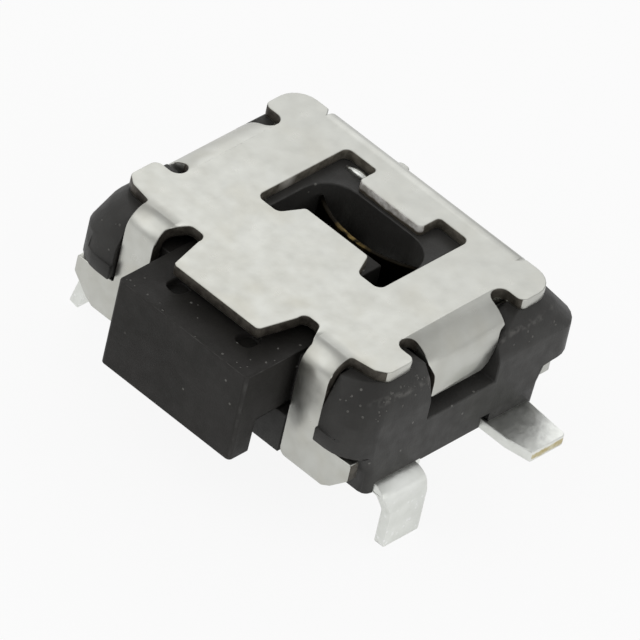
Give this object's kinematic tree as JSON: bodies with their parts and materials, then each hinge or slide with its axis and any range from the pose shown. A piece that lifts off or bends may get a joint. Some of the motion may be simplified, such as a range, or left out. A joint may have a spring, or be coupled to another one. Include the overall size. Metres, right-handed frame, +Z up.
{
  "type": "tactile switch",
  "caption": "Surface-mount push switch pressed from the side, with a folded metal cover, solder feet and front legs.",
  "frame": {"origin": "middle of the base's underside", "axes": "+Z up from the board, the button faces -Y and is pressed along +Y, X runs along the length"},
  "size_m": [0.006, 0.0046, 0.0024],
  "materials": {
    "base_plastic": "moulded black, fine matt",
    "button_plastic": "moulded black, fine matt",
    "cover_sheet": "satin stamped sheet",
    "spring_sheet": "rolled spring bronze",
    "lead_plating": "satin tin over brass"
  },
  "bodies": {
    "body": {"base": "base_plastic", "cover": "cover_sheet", "contact_spring": "spring_sheet", "left_terminal": "lead_plating", "right_terminal": "lead_plating"},
    "button": {"button": "button_plastic"}
  },
  "joints": [
    {"name": "button_press", "type": "slide", "parent": "body", "child": "button", "axis": [0, 1, 0], "range_m": [0, 0.0002], "stiffness_N_per_m": 5000, "springref_m": -0.00005, "deforming": ["contact_spring"]}
  ]
}
